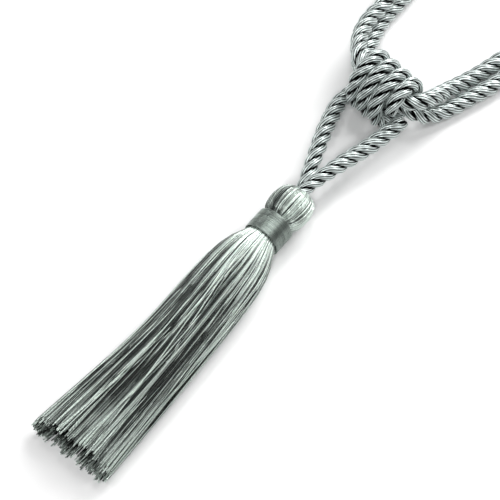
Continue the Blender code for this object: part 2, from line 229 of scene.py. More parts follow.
def copied_route(tree, given):
    """The copies, their numbers, and how to draw for each strand and for each lock."""
    line = node(tree, "GeometryNodeMeshToCurve", given["Route"])
    copies = node(tree, "GeometryNodeDuplicateElements", line, None, given["Strands"], domain="SPLINE")
    copy = copies.beside("Duplicate Index")
    first = carried(tree, "run") * RUN_STEP
    lock = maths("FLOOR", copy / given["Strands per lock"])

    def drawn(number, low, high, name):
        seed = given["Seed"] + float(DRAWS.index(name))
        return node(tree, "FunctionNodeRandomValue", low, high, number, seed)

    return copies, copy, partial(drawn, first + copy), partial(drawn, first + lock)


print(f"{len(DRAWS)} kinds of draw")

# %% [markdown]
# ## A strand's place in the section
#
# In a rope the strands sit evenly round the rim, and the angle grows with the length, which is the
# twist. In a tassel the locks lie anywhere in the section, and their threads anywhere in the lock.
# Threads that only ran side by side would look combed, so locks and threads lean across each other
# and wave. Moving them by hand would take days, and a few random numbers do it at once. Most lean
# a little and few lean far, because what is drawn for the lean is raised to the third power.

# %% Angle and depth
NEVER_NOUGHT = 0.00001


def place_in_section(tree, given, copy, own, of_lock):
    """How far a strand lies aside and upward, where 1 is the rim."""
    even = copy / given["Strands"]
    stray = (of_lock(0.0, 1.0, "lock angle") - even) * given["Scatter"]
    turned = carried(tree, "along") * given["Turns per metre"]
    angle = (even + stray + turned) * math.tau
    reach = maths("MAXIMUM", of_lock(0.0, 1.0, "lock depth"), NEVER_NOUGHT) ** given["Spread"]
    aside = reach * maths("COSINE", angle)
    upward = reach * maths("SINE", angle)

    # A lock is loose at its root and drawn together at its tip.
    tighter = (given["Lock at tip"] - given["Lock at root"]) * carried(tree, "share")
    size = (given["Lock at root"] + tighter) * maths("SQRT", own(0.0, 1.0, "depth in lock"))
    way = own(0.0, math.tau, "angle in lock")
    return aside + size * maths("COSINE", way), upward + size * maths("SINE", way)


# %% Leaning and waving
LEAN_GROWTH = 1.4  # above 1, so a strand leans more and more as it goes
FEW_GO_FAR = 3.0
RISE = 0.3  # of what it leans aside
WAVES_ACROSS = 2.6
WAVE_DETAIL = 2.0
NOISE_MIDDLE = 0.5


def leaned(tree, given, aside, upward, own, of_lock):
    """Locks lean as they go, and so does each strand."""
    growth = carried(tree, "share") ** LEAN_GROWTH
    for drift, draw, whose in (("Lock drift", of_lock, "lock"), ("Own drift", own, "own")):
        lean = draw(-1.0, 1.0, f"{whose} lean") ** FEW_GO_FAR
        rise = draw(-RISE, RISE, f"{whose} rise")
        aside = aside + lean * given[drift] * growth
        upward = upward + rise * given[drift] * growth
    return aside, upward


def waved(tree, given, aside, upward):
    """Neighbours wave together, because the noise is read at their places."""
    along = carried(tree, "along") / given["Wave length"]
    spot = node(tree, "ShaderNodeCombineXYZ", aside * WAVES_ACROSS, upward * WAVES_ACROSS, along)
    noise = node(tree, "ShaderNodeTexNoise", spot, 1.0, WAVE_DETAIL)
    side_wave, up_wave, _ = noise.beside("Color").parts()
    grown = given["Wave"] * carried(tree, "share")
    return aside + (side_wave - NOISE_MIDDLE) * grown, upward + (up_wave - NOISE_MIDDLE) * grown


# %% Keeping within the rim
SUNK = -1.0
PROUD = 0.6
CENTRE = 0.001


def within_rim(given, aside, upward, own):
    """A place outside the rim is brought back to it, some a little less far than others."""
    far = maths("SQRT", aside * aside + upward * upward)
    loose = own(SUNK, PROUD, "looseness") * given["Relief"] + 1.0
    back = maths("MINIMUM", loose / maths("MAXIMUM", far, CENTRE), 1.0)
    return aside * back, upward * back, far * back


# %% [markdown]
# ## Cut ends, and a surface to lie on
#
# Scissors leave a tassel's end nearly straight. On this one a few threads stick out, and those in
# the middle end further in, which leaves a dark hollow. A strand is made longer or shorter by
# moving its points along their own tangent, more and more towards the tip. A hair simulation could
# drop the threads on the surface, but they already lie nearly right, so it is enough to lift
# whatever would reach below it.

# %% Cut ends
INNER_EDGE = 2.5  # how steeply the hollow begins behind the rim
UPPER_EDGE = 3.0


def cut_length(tree, given, upward, far, own, of_lock):
    """How much longer or shorter a strand is made."""
    cut = of_lock(-1.0, 1.0, "lock cut") * given["Lock ragged"]
    cut = cut + own(0.0, 1.0, "own cut") ** FEW_GO_FAR * given["Ragged"]
    inner = 1.0 - maths("MINIMUM", far, 1.0)
    inner = maths("MINIMUM", inner * INNER_EDGE, 1.0)
    upper = maths("MINIMUM", maths("MAXIMUM", upward * UPPER_EDGE, 0.0), 1.0)
    cut = cut - inner * given["Hollow"] - upper * given["Set back"]
    return cut * carried(tree, "share")


# %% Moving the lines to their places
def kept(geometry, name, value, kind="FLOAT"):
    """Writes a value on the points, where later nodes and the materials find it by its name."""
    store = "GeometryNodeStoreNamedAttribute"
    return node(geometry.tree, store, geometry, None, name, value, data_type=kind, domain="POINT")


def moved_lines(tree, copies, aside, upward, far, cut):
    """Above its middle the section has one height, and below it another."""
    side = carried(tree, "side", "FLOAT_VECTOR").vector("SCALE", aside)
    rise = carried(tree, "up", "FLOAT_VECTOR").vector("SCALE", maths("MAXIMUM", upward, 0.0))
    sink = carried(tree, "down", "FLOAT_VECTOR").vector("SCALE", maths("MINIMUM", upward, 0.0))
    longer = node(tree, "GeometryNodeInputTangent").vector("SCALE", cut)
    move = side.vector("ADD", rise.vector("ADD", sink)).vector("ADD", longer)
    lines = kept(copies, "core", node(tree, "GeometryNodeInputPosition"), "FLOAT_VECTOR")
    lines = kept(lines, "far", far)
    return node(tree, "GeometryNodeSetPosition", lines, None, None, move)


# %% Resting on the surface
REACH_BELOW = 1.06  # a slanting strand reaches a little more than its radius below its line


def rested_lines(tree, given, lines, own):
    """The lines with nothing below the floor, and each strand's radius."""
    x, y, z = node(tree, "GeometryNodeInputPosition").parts()
    fuller = own(-1.0, 1.0, "fullness") * given["Uneven"] + 1.0
    radius = given["Radius"] * carried(tree, "thickness") * fuller
    lowest = given["Floor"] + radius * (given["Ridge depth"] + REACH_BELOW)
    place = node(tree, "ShaderNodeCombineXYZ", x, y, maths("MAXIMUM", z, lowest))
    return node(tree, "GeometryNodeSetPosition", lines, None, place), radius


# %% [markdown]
# ## The skin of a strand
#
# Curve to Mesh sweeps a profile along each line. A plain circle does for a thread. A rope's strand
# is itself spun of finer yarns that show as ridges, and a cosine round the circle makes those.
# A bump in the material would be lighter, but ridges also show in the outline. The materials read
# what is noted on the way: the place round the strand (rim), how high on a ridge (crest), and how
# far from the route, which is low in the grooves between a rope's strands (crown).

# %% Profile
def strand_profile(tree, given):
    """A circle with ridges."""
    ring = node(tree, "GeometryNodeCurvePrimitiveCircle", given["Sides"], 1.0)
    around = node(tree, "GeometryNodeSplineParameter").beside("Index") / given["Sides"] * math.tau
    crest = maths("COSINE", around * given["Ridges"])
    ridge = crest * given["Ridge depth"] + 1.0
    place = node(tree, "GeometryNodeInputPosition").vector("SCALE", ridge)
    shaped = node(tree, "GeometryNodeSetPosition", ring, None, place)
    rim = node(tree, "ShaderNodeCombineXYZ", maths("COSINE", around), maths("SINE", around), 0.0)
    return kept(kept(shaped, "rim", rim, "FLOAT_VECTOR"), "crest", crest)


def crown_height(tree):
    """How far a point stands from the route, against the section's own size."""
    core = carried(tree, "core", "FLOAT_VECTOR")
    from_core = node(tree, "GeometryNodeInputPosition").vector("DISTANCE", core)
    own_size = carried(tree, "side", "FLOAT_VECTOR").vector("LENGTH")
    return from_core / maths("MAXIMUM", own_size, NEVER_NOUGHT)


# %% The whole tree
OWN_HUE = 0.8
LOCK_HUE = 0.2


def make_strand_tree():
    tree, given = tree_with_inputs()
    copies, copy, own, of_lock = copied_route(tree, given)
    aside, upward = place_in_section(tree, given, copy, own, of_lock)
    aside, upward = leaned(tree, given, aside, upward, own, of_lock)
    aside, upward = waved(tree, given, aside, upward)
    aside, upward, far = within_rim(given, aside, upward, own)
    cut = cut_length(tree, given, upward, far, own, of_lock)
    lines = moved_lines(tree, copies, aside, upward, far, cut)
    lines, radius = rested_lines(tree, given, lines, own)
    hue = own(0.0, OWN_HUE, "own hue") + of_lock(0.0, LOCK_HUE, "lock hue")
    lines = kept(lines, "hue", hue)
    skin = node(tree, "GeometryNodeCurveToMesh", lines, strand_profile(tree, given), radius, True)
    skin = kept(skin, "crown", crown_height(tree))
    skin = node(tree, "GeometryNodeSetShadeSmooth", skin)
    skin = node(tree, "GeometryNodeRealizeInstances", skin)
    skin = node(tree, "GeometryNodeSetMaterial", skin, None, given["Material"])
    tree.links.new(skin.socket, tree.nodes.new("NodeGroupOutput").inputs[0])
    return tree


STRAND_TREE = make_strand_tree()
print(f"strand tree: {len(STRAND_TREE.nodes)} nodes")

# %% [markdown]
# ## From a route to a mesh
#
# A route is a mesh of bare edges, because a mesh's points can carry named values, called
# attributes, into the tree. The tree could stay on the object as a live modifier. Here its result
# is kept as a plain mesh and the modifier goes, because the export needs a mesh that is finished.


# %% A route as a line of points
class RoutePoint(NamedTuple):
    """A point of a route, and what it carries into the tree."""

    place: Vector
    side: tuple = (0, 0, 0)
    up: tuple = (0, 0, 0)
    down: tuple = (0, 0, 0)
    along: float = 0.0
    share: float = 0.0
    thickness: float = 1.0
    # painted light, where a number below 0 is painted shade
    tone: float = 0.0


def route_object(name, runs):
    """An object with one line of edges for each run of points."""
    mesh = bpy.data.meshes.new(name)
    points = [point for run in runs for point in run]
    edges = []
    start = 0
    for run in runs:
        edges += [(start + i, start + i + 1) for i in range(len(run) - 1)]
        start += len(run)
    mesh.from_pydata([point.place for point in points], edges, [])
    for key in ("side", "up", "down"):
        values = [value for point in points for value in getattr(point, key)]
        mesh.attributes.new(key, "FLOAT_VECTOR", "POINT").data.foreach_set("vector", values)
    numbers = {key: [getattr(point, key) for point in points] for key in RoutePoint._fields[4:]}
    numbers["run"] = [float(index) for index, run in enumerate(runs) for _ in run]
    for key, values in numbers.items():
        mesh.attributes.new(key, "FLOAT", "POINT").data.foreach_set("value", values)
    made = bpy.data.objects.new(name + "_route", mesh)
    bpy.context.scene.collection.objects.link(made)
    return made


# %% Laying the strands
def lay_strands(name, solid, runs, material, **sizes):
    """A piece that stands for that CAD solid. Each size is an input of the tree by its name."""
    host = route_object(name, runs)
    modifier = host.modifiers.new("strands", "NODES")
    modifier.node_group = STRAND_TREE
    sizes["material"] = material
    for socket in STRAND_TREE.interface.items_tree:
        key = socket.name.lower().replace(" ", "_")
        if socket.in_out == "INPUT" and key in sizes:
            modifier[socket.identifier] = sizes[key]
    bpy.context.view_layer.update()
    graph = bpy.context.evaluated_depsgraph_get()
    laid = host.evaluated_get(graph)
    mesh = bpy.data.meshes.new_from_object(laid, preserve_all_data_layers=True, depsgraph=graph)
    bpy.data.objects.remove(host, do_unlink=True)
    mesh.name = name
    piece = bpy.data.objects.new(name, mesh)
    bpy.context.scene.collection.objects.link(piece)
    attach(piece, "root")
    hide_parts(solid)
    print(f"{name}: {sum(len(face.vertices) - 2 for face in mesh.polygons)} triangles")
    return piece


# %% [markdown]
# ## Silky yarn
#
# The whole tieback is spun from one silky yarn in a pale grey green, made of bright parallel
# filaments. It mirrors light along a narrow line across each thread. The threads' own round shape
# gives most of that. The filaments could come from a picture of yarn, but noise that is drawn out
# along the strand stays sharp from near by and follows every turn, because it is read from the
# attributes that the tree left on the mesh.

# %% Filaments
STRAND_SHIFT = 40.0  # moves each strand to a stretch of noise of its own
FILAMENT_DETAIL = 3.0
FILAMENT_ROUGHNESS = 0.65


def attribute(tree, name, output="Fac"):
    """A value that the strand tree left on the mesh."""
    return node(tree, "ShaderNodeAttribute", attribute_name=name).beside(output)


def filaments(tree, streaks, grain_cells):
    """Noise round and along the strand, quick to change round it and slow along it."""
    x, y, _ = attribute(tree, "rim", "Vector").parts()
    round_x = x * (streaks / 4)
    round_y = y * (streaks / 4) + attribute(tree, "hue") * STRAND_SHIFT
    seat = node(tree, "ShaderNodeCombineXYZ", round_x, round_y, attribute(tree, "along") * grain_cells)
    return node(tree, "ShaderNodeTexNoise", seat, 1.0, FILAMENT_DETAIL, FILAMENT_ROUGHNESS)


# %% Twisted plies
PLY_SHIFT = 60.0
PLY_HEIGHT = 0.35  # against the filaments' 1


def twisted_plies(tree, plies):
    """Two yarns twisted round each other, as the cosine of twice the angle and the turn."""
    x, y, _ = attribute(tree, "rim", "Vector").parts()
    turn = attribute(tree, "along") * (plies * math.tau) + attribute(tree, "hue") * PLY_SHIFT
    double_cosine = x * x - y * y
    double_sine = x * y * 2.0
    return double_cosine * maths("COSINE", turn) - double_sine * maths("SINE", turn)


# %% Tint
GRAIN_TINT = 0.7
CLOUDS_PER_METRE = 120.0
CLOUD_DETAIL = 2.0
LEAST_TINT = 0.15


def yarn_tint(tree, grain, mixed, patchy, painted_highlight):
    """How pale the yarn is at a point, with painted light and shade, as a number for the colour ramp.
    """
    coordinates = node(tree, "ShaderNodeTexCoord").beside("Object")
    clouds = node(tree, "ShaderNodeTexNoise", coordinates, CLOUDS_PER_METRE, CLOUD_DETAIL)
    tint = (attribute(tree, "hue") - NOISE_MIDDLE) * mixed + grain * GRAIN_TINT
    # the head's tufts bring their painted light and shade along as an attribute
    tint = tint + (clouds - NOISE_MIDDLE) * patchy + attribute(tree, "tone")
    # painted highlight: paler between two lengths along the thread
    for start, end, more_at_start, more_at_end in painted_highlight:
        along = attribute(tree, "along")
        tint = tint + node(tree, "ShaderNodeMapRange", along, start, end, more_at_start, more_at_end)
    return tint + LEAST_TINT


# %% [markdown]
# ## Light that doesn't reach in
#
# Between the strands of a rope, and between the outer threads of a tassel, hardly any light gets
# in. Cycles darkens narrow gaps by itself, but fewer and thicker threads than the real ones leave
# fewer gaps than it needs. So the material darkens what lies deep, by the attribute that says how
# far out a point is. A groove mirrors nothing either, and a metal in a dark colour does just that,
# so what is shaded turns metallic as it darkens.

# %% Open to the light
TURNED_AWAY = -0.45  # the cosine of the angle between the surface and the way out of the hank
TURNED_OUT = 0.15


def open_to_light(tree, depth, furrow):
    """1 in the open, and down to the least light where a point lies deep or in a furrow."""
    where, shaded, lit, least = depth
    light = node(tree, "ShaderNodeMapRange", attribute(tree, where), shaded, lit, least, 1.0)
    return light * (attribute(tree, "crest") * furrow + (1.0 - furrow)) if furrow else light


def lit_from_outside(tree, light, end_begins, end_begun, least):
    """The side that a thread turns to the middle of the hank gets no light, but its cut end does."""
    coordinates = node(tree, "ShaderNodeTexCoord")
    outward = coordinates.beside("Object").vector("SUBTRACT", attribute(tree, "core", "Vector"))
    facing = outward.vector("NORMALIZE").vector("DOT_PRODUCT", coordinates.beside("Normal"))
    seen = node(tree, "ShaderNodeMapRange", facing, TURNED_AWAY, TURNED_OUT, least, 1.0)
    tips = node(tree, "ShaderNodeMapRange", attribute(tree, "along"), end_begins, end_begun, 0.0, 1.0)
    return light * maths("MAXIMUM", seen, tips)


# %% Yarn
ROUGHNESS_OF_GRAIN = 0.25
ROUGHNESS_BELOW = 0.12
SPECULAR = 0.8
SHEEN = 0.05
SHEEN_ROUGHNESS = 0.35


def yarn_material(
    name,
    dark,
    light,
    tones,  # the tints at which the colour starts and ends to change
    roughness,
    shine=0.60,
    streaks=6,  # filaments that show round a strand
    plies=450,  # twists in a metre, or none
    bump=0.00015,  # how high filaments and plies stand
    grain_cells=35.0,  # how often the filaments change in a metre
    mixed=0.50,  # how far one thread differs in tint from the next
    patchy=0.12,  # how far the tint clouds
    painted_highlight=(),  # painted highlight: from and to what length along the thread, and how much paler at each
    depth=None,  # an attribute, its values in shade and in light, and the least light
    furrow=0.0,  # how much painted shade darkens the ridges' valleys
    inner_shade=None,  # lengths at which the cut end begins, and the least light on the inner side
):
    material = bpy.data.materials.new(name)
    material.use_nodes = True
    tree = material.node_tree
    shader = tree.nodes["Principled BSDF"]
    grain = filaments(tree, streaks, grain_cells)
    tint = yarn_tint(tree, grain, mixed, patchy, painted_highlight)
    colour = node(tree, "ShaderNodeValToRGB", tint)
    for element, position, shade in zip(colour.socket.node.color_ramp.elements, tones, (dark, light)):
        element.position = position
        element.color = (*shade, 1)

    shader.inputs["Metallic"].default_value = shine
    # Painted shade: where little light gets in, the colour darkens and the shine turns metallic.
    if depth:
        lit = open_to_light(tree, depth, furrow)
        if inner_shade:
            lit = lit_from_outside(tree, lit, *inner_shade)
        grey = node(tree, "ShaderNodeCombineXYZ", lit, lit, lit)
        colour = node(tree, "ShaderNodeMix", 1.0, colour, grey, data_type="RGBA", blend_type="MULTIPLY")
        tree.links.new((1.0 - lit * (1.0 - shine)).socket, shader.inputs["Metallic"])
    tree.links.new(colour.socket, shader.inputs["Base Color"])

    rough = (1.0 - grain) * ROUGHNESS_OF_GRAIN + (roughness - ROUGHNESS_BELOW)
    tree.links.new(rough.socket, shader.inputs["Roughness"])
    relief = grain + twisted_plies(tree, plies) * PLY_HEIGHT if plies else grain
    raised = tree.nodes.new("ShaderNodeBump")
    raised.inputs["Distance"].default_value = bump
    tree.links.new(relief.socket, raised.inputs["Height"])
    tree.links.new(raised.outputs["Normal"], shader.inputs["Normal"])
    shader.inputs["Specular IOR Level"].default_value = SPECULAR
    shader.inputs["Sheen Weight"].default_value = SHEEN
    shader.inputs["Sheen Roughness"].default_value = SHEEN_ROUGHNESS
    print(f"{name}: {len(tree.nodes)} nodes")
    return material


# %% [markdown]
# ## The rope
#
# The rope is laid from three strands that turn to the right, once in every 22.5 mm, and each strand
# is spun of finer yarns. Plies in its material could draw them, but real ridges do, so it has none.
# Painted shade darkens it in the grooves between the strands and in the furrows between their yarns.

# %% Rope yarn
ROPE_YARN = yarn_material(
    "satin_rope",
    dark=(0.26, 0.300, 0.290),
    light=(0.90, 1.0, 0.975),
    tones=(0.20, 0.48),
    roughness=0.33,
    shine=0.30,
    streaks=12,
    plies=0,
    grain_cells=110.0,
    mixed=0.06,
    patchy=0.25,
    # painted shade: darker in the grooves between the strands, and with the furrow below, between their
    # yarns
    depth=("crown", 1.45, 1.68, 0.0),
    furrow=0.50,
)

# %% [markdown]
# ## Where the rope runs
#
# A rope's route could be drawn as a Bezier curve by hand. Here it is a table of places, because the
# same places made the CAD solids, and rope and solid then agree. Each row is x, y and z from the
# head's top in millimetres, and the share of the full thickness: the rope is squeezed where it
# hangs in the tassel's head and inside the knot. A row of three is at its full thickness, and a
# row of two also lies flat on the surface.

# %% Route of the V that carries the tassel
HANGER_ROUTE = (
    (14.6, 69.0, 13.6, 0.82), (14.3, 65.2, 12.9, 0.96), (12.9, 58.4, 12.6),
    (10.4, 46.0, 12.6), (7.4, 34.4, 12.9), (4.7, 24.0, 13.6, 0.96),
    (2.4, 11.6, 14.6, 0.84), (0.8, 1.0, 15.6, 0.74), (0.2, -8.5, 16.35, 0.71),
    (0.0, -12.8, 14.8, 0.71), (0.0, -14.2, 11.15, 0.71), (0.0, -12.8, 7.5, 0.71),
    (-0.3, -8.5, 5.95, 0.71), (-2.4, 1.0, 6.8, 0.74), (-5.4, 11.0, 8.3, 0.84),
    (-10.6, 25.2, 9.0, 0.96), (-15.3, 37.9, 8.8), (-20.0, 53.5, 7.6),
    (-21.8, 61.2, 6.2, 0.97), (-22.3, 67.2, 4.9, 0.92), (-21.7, 72.0, 4.3, 0.89),
)

# %% Route of the arms, out to the right eye, back through the knot and out to the left eye
ARMS_ROUTE = (
    (-6.0, 79.5, 13.5, 0.94), (1.0, 78.3, 13.5, 0.94), (8.0, 77.4, 13.5, 0.95),
    (14.0, 77.8, 12.5, 0.98), (19.4, 81.4, 9.3), (23.3, 87.3, 6.4), (26.5, 94.5, 5.0),
    (29.5, 102.5), (32.6, 111.5), (36.4, 122.2), (39.4, 135.0), (43.2, 152.0), (46.1, 169.0),
    (46.8, 186.0), (44.8, 202.0), (40.4, 216.0), (36.2, 227.5), (35.2, 239.0), (33.6, 250.0),
    (26.2, 257.6), (15.4, 257.8), (8.6, 249.6), (9.5, 238.8), (17.0, 230.2), (25.2, 221.8),
    (31.2, 211.5), (35.2, 199.5), (37.0, 186.0), (36.4, 170.5), (33.6, 154.0, 4.8),
    (29.8, 137.5, 5.0), (26.7, 124.5, 5.6), (23.5, 112.5, 7.5), (21.2, 103.5, 9.9),
    (20.2, 95.5, 13.6), (19.8, 88.2, 17.6), (17.8, 80.8, 21.0), (12.6, 75.8, 22.1, 0.95),
    (5.0, 75.4, 22.1, 0.94), (-5.0, 77.3, 22.2, 0.94), (-13.0, 78.7, 22.2, 0.94),
    (-20.0, 79.9, 22.2, 0.94), (-25.6, 83.6, 21.9, 0.98), (-29.8, 88.8, 20.5), (-33.7, 94.5, 18.7),
    (-36.7, 101.0, 17.1), (-39.6, 112.5, 15.2), (-39.8, 121.5, 14.3), (-40.0, 130.0, 14.0),
    (-42.7, 140.0, 12.9), (-47.0, 151.0, 9.2), (-50.7, 164.0, 5.5), (-52.2, 178.0),
    (-52.0, 193.0), (-49.4, 208.0), (-44.0, 221.5), (-37.8, 233.5), (-36.2, 244.0), (-34.8, 255.0),
    (-27.2, 262.6), (-16.4, 262.2), (-9.9, 253.8), (-11.1, 243.0), (-19.0, 235.0), (-27.8, 227.2),
    (-34.8, 218.0), (-39.4, 206.5), (-41.8, 193.0), (-41.6, 179.0), (-39.6, 166.0), (-38.0, 153.0),
    (-37.5, 140.0), (-37.6, 128.0), (-36.2, 118.0, 5.2), (-33.6, 108.5, 6.2), (-30.9, 100.0, 7.6),
    (-29.1, 92.6, 9.2), (-26.8, 86.2, 11.6, 0.99), (-21.6, 82.0, 13.3, 0.95),
    (-14.0, 80.8, 13.5, 0.94), (-6.3, 79.6, 13.5, 0.94),
)
LYING_FLAT = (None, None, 4.7, 1.00)


def in_metres(rows):
    """The rows in metres, with the short ones filled up."""
    full = [row + LYING_FLAT[len(row) :] for row in rows]
    return [(x / 1000, y / 1000, z / 1000, thickness) for x, y, z, thickness in full]


print(f"{len(HANGER_ROUTE)} and {len(ARMS_ROUTE)} places along the ropes")

# %% [markdown]
# ## Smooth curves through the places
#
# Straight stretches between the places would show as corners, and a Bezier curve with automatic
# handles can bulge at a tight bend. A centripetal Catmull-Rom curve goes through every place and
# doesn't bulge. It blends a point from four neighbours in three rounds, and the times at which it
# passes them grow with the square root of their distance.

# %% A smooth curve
BLENDING_ROUNDS = (((0, 1), (1, 2), (2, 3)), ((0, 2), (1, 3)), ((1, 2),))
SAMPLES = 24


def catmull_rom(t, times, points):
    for spans in BLENDING_ROUNDS:
        following = []
        for (first, last), one, two in zip(spans, points, points[1:]):
            share = (t - times[first]) / (times[last] - times[first])
            following.append(one.lerp(two, share))
        points = following
    return points[0]


def smooth_route(rows):
    """Points close together on a smooth curve through the rows: place and thickness."""
    knots = [(Vector(row[:3]), row[3]) for row in rows]
    first = (knots[0][0] * 2 - knots[1][0], knots[0][1])
    last = (knots[-1][0] * 2 - knots[-2][0], knots[-1][1])
    knots = [first, *knots, last]
    curve = []
    for near in zip(knots, knots[1:], knots[2:], knots[3:]):
        times = [0.0]
        for one, two in zip(near, near[1:]):
            times.append(times[-1] + math.sqrt((two[0] - one[0]).length))
        start, end = near[1], near[2]
        for i in range(SAMPLES):
            t = times[1] + (times[2] - times[1]) * i / SAMPLES
            place = catmull_rom(t, times, [place for place, _ in near])
            curve.append((place, start[1] + (end[1] - start[1]) * i / SAMPLES))
    curve.append(knots[-2])
    return curve


print(f"{len(smooth_route(in_metres(ARMS_ROUTE)))} points on the arms' curve")

# %% Equal steps along it
def even_route(curve, step):
    """The same curve as points an equal step apart, and its length."""
    lengths = [0.0]
    for (one, _), (two, _) in zip(curve, curve[1:]):
        lengths.append(lengths[-1] + (two - one).length)
    count = max(2, round(lengths[-1] / step) + 1)
    route = []
    at = 0
    for i in range(count):
        wanted = lengths[-1] * i / (count - 1)
        while at < len(curve) - 2 and lengths[at + 1] < wanted:
            at += 1
        share = (wanted - lengths[at]) / (lengths[at + 1] - lengths[at])
        place = curve[at][0].lerp(curve[at + 1][0], share)
        route.append((place, curve[at][1] * (1 - share) + curve[at + 1][1] * share))
    return route, lengths[-1]


# %% [markdown]
# ## Three strands that turn
#
# To wind strands round a curve, each point needs two directions across it. Taken afresh at
# each point they would jump where the curve's bend changes sides, and the twist with them. So the
# first direction is carried along, and only straightened a little at each step.

# %% Rope
ROPE_DIAMETER = 0.0090
ROPE_PITCH = 0.0225
ROPE_STEP = 0.0015
STRAND_OFFSET = 0.00250
STRAND_RADIUS = 0.00222
ROPE_HABITS = dict(
    strands=3, radius=STRAND_RADIUS, sides=40, turns_per_metre=1 / ROPE_PITCH, ridges=10,
    ridge_depth=0.085, floor=0.0, seed=11,
)
UP = Vector((0, 0, 1))


def rope_run(curve):
    """Route points whose two directions don't turn about the curve, and its length."""
    route, length = even_route(curve, ROPE_STEP)
    places = [place + HEAD_TOP for place, _ in route]
    normal = UP
    travelled = 0.0
    run = []
    for i, (place, (_, thickness)) in enumerate(zip(places, route)):
        ahead = (places[min(i + 1, len(places) - 1)] - places[max(i - 1, 0)]).normalized()
        normal = (normal - ahead * normal.dot(ahead)).normalized()
        travelled += (place - places[i - 1]).length if i else 0.0
        side = normal * (STRAND_OFFSET * thickness)
        across = ahead.cross(normal) * (STRAND_OFFSET * thickness)
        run.append(RoutePoint(place, side, across, across, travelled, 1.0, thickness))
    return run, length


def make_rope(name, solid, curve):
    """A laid rope along the curve, its path and its length."""
    run, length = rope_run(curve)
    piece = lay_strands(name, solid, [run], ROPE_YARN, **ROPE_HABITS)
    return piece, [tuple(point.place) for point in run], length


# %% [markdown]
# ## The knot
#
# The rope is wound three and a half times about the crossing arms, and its end is tucked in. The
# V's left limb runs into the first wrap, so its route ends where the wraps begin. A simulated knot
# would hardly lie as the photograph has it, and the formula of a helix does.

# %% Wraps
CLEARANCE = 0.0003
WRAP_DIAMETER = 0.00800
WRAP_SQUEEZE = WRAP_DIAMETER / ROPE_DIAMETER
WRAP_RADIUS = 0.0136
WRAP_LEAD = 0.0084
WRAP_STEP_DEG = 5
WRAP_TURNS_DEG = 1260
TUCK_DEG = 65
TUCK_DEPTH = 0.0030
TUCK_THICKNESS = 0.72
KNOT_START = Vector((-0.0196, 0.0786, 0.01725))
KNOT_TILT = math.radians(-9)
KNOT_AXIS = Vector((math.cos(KNOT_TILT), math.sin(KNOT_TILT), 0))
KNOT_SIDE = Vector((-math.sin(KNOT_TILT), math.cos(KNOT_TILT), 0))


def tucked_share(angle_deg):
    """0 along the wraps, and up to 1 at the end of the tuck."""
    return max(0.0, (angle_deg - WRAP_TURNS_DEG) / TUCK_DEG)


def wrap_place(angle_deg):
    """A point of the wrap's middle line. The angle is counted from beneath the knot."""
    radius = WRAP_RADIUS - TUCK_DEPTH * tucked_share(angle_deg)
    angle = math.radians(angle_deg)
    place = KNOT_START + KNOT_AXIS * (WRAP_LEAD * angle_deg / 360)
    place += KNOT_SIDE * (radius * math.sin(angle))
    place.z -= radius * math.cos(angle)
    return place


def wrap_route():
    route = []
    for angle in range(0, WRAP_TURNS_DEG + TUCK_DEG + 1, WRAP_STEP_DEG):
        squeezed = 1 - (1 - TUCK_THICKNESS) * tucked_share(angle) ** 2
        route.append((wrap_place(angle), WRAP_SQUEEZE * squeezed))
    return route


print(f"knot about {2 * (WRAP_RADIUS + WRAP_DIAMETER / 2) * 1000:.0f} mm thick")

# %% The V's route, with its end in the knot
END_STRETCH = 0.0045


def hanger_route():
    start = wrap_place(0)
    heading = (wrap_place(WRAP_STEP_DEG) - start).normalized()
    rows = in_metres(HANGER_ROUTE)
    for short_of in (END_STRETCH, CLEARANCE):
        rows.append((*(start - heading * short_of), WRAP_SQUEEZE))
    return smooth_route(rows)


# %% Ropes
for rope_name, solid, rope_curve in (
    ("rope_of_tassel", "hanging_rope", hanger_route()),
    ("rope_of_arms", "arm_rope", smooth_route(in_metres(ARMS_ROUTE))),
):
    rope, path, rope_length = make_rope(rope_name, solid, rope_curve)
    print(f"{rope_name}: {rope_length * 1000:.0f} mm long")

# %% Knot
_, _, wraps_length = make_rope("knot_wraps", "knot_wrap", wrap_route())
print(f"knot_wraps: {wraps_length * 1000:.0f} mm of rope")

# %% [markdown]
# ## Thread of the skirt
#
# The skirt's thread is two yarns twisted together, so its material has plies. A painted highlight
# makes it paler where it swells at the neck, and again near the cut end, where it spreads and light
# gets in. Threads that lie under others get painted shade. One material could do for all, but the
# few threads that stray over the rest stand out in the photograph as single pale lines, so they get
# a paler copy of it without that shade, which paints light on them.

# %% Skirt yarn and stray yarn
SKIRT_YARN = yarn_material(
    "tassel_thread",
    dark=(0.030, 0.036, 0.033),
    light=(0.86, 0.97, 0.90),
    tones=(0.565, 0.82),
    roughness=0.26,
    # painted highlight where the skirt swells at the neck, and again near the cut end
    painted_highlight=((0.010, 0.055, 0.25, 0.0), (0.105, 0.150, 0.0, 0.19)),
    # painted shade on the threads that lie under others
    depth=("far", 0.86, 0.99, 0.06),
    inner_shade=(0.1520, 0.1558, 0.02),
)
# a paler copy of the skirt's yarn without its painted shade: painted light on the threads that lie on
# top
STRAY_YARN = yarn_material(
    "stray_thread",
    dark=(0.40, 0.46, 0.42),
    light=(0.88, 0.99, 0.92),
    tones=(0.22, 0.60),
    roughness=0.26,
)

# %% [markdown]
# ## The skirt
#
# A tassel's skirt is a hank of threads tied at the neck. They leave it as a round bundle, swell,
# and lie down in a flat fan whose end is cut straight. Particle hair could fill that shape, but its
# locks and its cut end are hard to steer. So the strand tree runs here too, along a route whose
# section is given at six places and blended between them. A core fills the skirt, a cover lies
# round it, and a few strays cross the cover.

# %% The bundle's section along its length
HEAD_AXIS_Z = 0.01115
